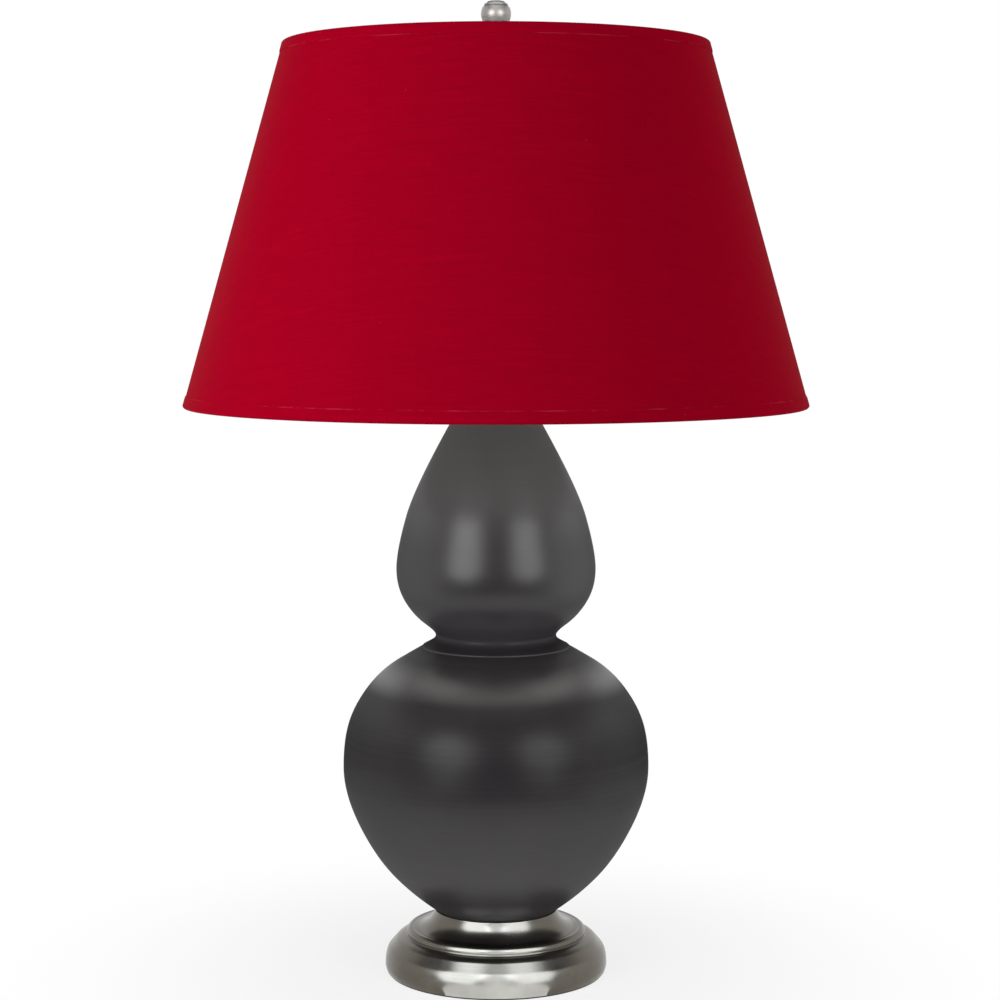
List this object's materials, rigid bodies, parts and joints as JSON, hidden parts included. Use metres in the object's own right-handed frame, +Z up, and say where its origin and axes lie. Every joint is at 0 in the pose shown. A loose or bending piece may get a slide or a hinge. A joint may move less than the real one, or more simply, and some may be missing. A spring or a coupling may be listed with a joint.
{
  "type": "double gourd table lamp",
  "caption": "Table lamp with a double gourd ceramic body on a stepped metal foot and a tapered round fabric shade held by a harp under a ball finial.",
  "frame": {"origin": "centre of the felt pad's underside, where the lamp's axis meets the table", "axes": "+Z up along the lamp's axis, -Y is the front with the switch knob, +Y the back with the cord outlet and the shade's seam, the harp lies in the XZ plane"},
  "size_m": [0.5003, 0.5004, 0.7871],
  "materials": {
    "felt": "dark pressed felt",
    "card": "grey-brown stiff card",
    "dark_nickel": "polished aged nickel, slightly warm",
    "bright_nickel": "bright nickel plate",
    "plain_steel": "zinc plated steel",
    "black_plastic": "black moulded plastic",
    "rubber": "black rubber",
    "charcoal_glaze": "satin charcoal glaze",
    "brass": "plain brass",
    "aluminium": "drawn aluminium",
    "fibre": "brown insulating fibre",
    "frosted_glass": "frosted white glass",
    "red_cloth": "fine crimson cotton weave",
    "white_liner": "white laminated liner"
  },
  "bodies": {
    "lamp": {"felt_pad": "felt", "base_card": "card", "metal_foot": "dark_nickel", "cord_bushing": "black_plastic", "foot_gasket": "rubber", "ceramic_body": "charcoal_glaze", "lamp_pipe": "plain_steel", "bottom_washer": "plain_steel", "bottom_nut": "plain_steel", "top_gasket": "rubber", "vase_cap": "dark_nickel", "neck_tube": "dark_nickel", "harp_saddle": "bright_nickel", "saddle_nut": "plain_steel", "socket_cap": "bright_nickel", "socket_set_screw": "plain_steel", "socket_core": "black_plastic", "terminal_screws": "brass", "screw_shell": "aluminium", "centre_contact": "brass", "socket_insulator": "fibre", "socket_shell": "bright_nickel"},
    "switch": {"switch_shaft": "plain_steel", "switch_knob": "black_plastic"},
    "bulb": {"bulb_cap": "aluminium", "bulb_insulator": "black_plastic", "bulb_contact": "brass", "bulb_glass": "frosted_glass"},
    "harp": {"harp_wire": "bright_nickel", "harp_stud": "bright_nickel"},
    "sleeve_left": {"harp_sleeve_left": "bright_nickel"},
    "sleeve_right": {"harp_sleeve_right": "bright_nickel"},
    "shade": {"shade_cloth": "red_cloth", "shade_liner": "white_liner", "shade_seam": "red_cloth", "low_hem": "red_cloth", "high_hem": "red_cloth", "low_ring": "bright_nickel", "high_ring": "bright_nickel", "spider_washer": "bright_nickel", "spider_arms": "bright_nickel"},
    "finial": {"finial": "dark_nickel"}
  },
  "joints": [
    {"name": "harp_lift", "type": "slide", "parent": "lamp", "child": "harp", "axis": [0, 0, 1], "range_m": [0, 0.02]},
    {"name": "sleeve_left_lift", "type": "slide", "parent": "harp", "child": "sleeve_left", "axis": [0, 0, 1], "range_m": [0, 0.02]},
    {"name": "sleeve_right_lift", "type": "slide", "parent": "harp", "child": "sleeve_right", "axis": [0, 0, 1], "range_m": [0, 0.02]},
    {"name": "shade_turn", "type": "hinge", "parent": "harp", "child": "shade", "pos_m": [0, 0, 0.7445], "axis": [0, 0, 1], "continuous": true},
    {"name": "finial_turn", "type": "hinge", "parent": "harp", "child": "finial", "pos_m": [0, 0, 0.746], "axis": [0, 0, 1], "continuous": true},
    {"name": "bulb_turn", "type": "hinge", "parent": "lamp", "child": "bulb", "pos_m": [0, 0, 0.5337], "axis": [0, 0, 1], "continuous": true},
    {"name": "switch_turn", "type": "hinge", "parent": "lamp", "child": "switch", "pos_m": [0, -0.018, 0.5263], "axis": [0, -1, 0], "continuous": true}
  ]
}
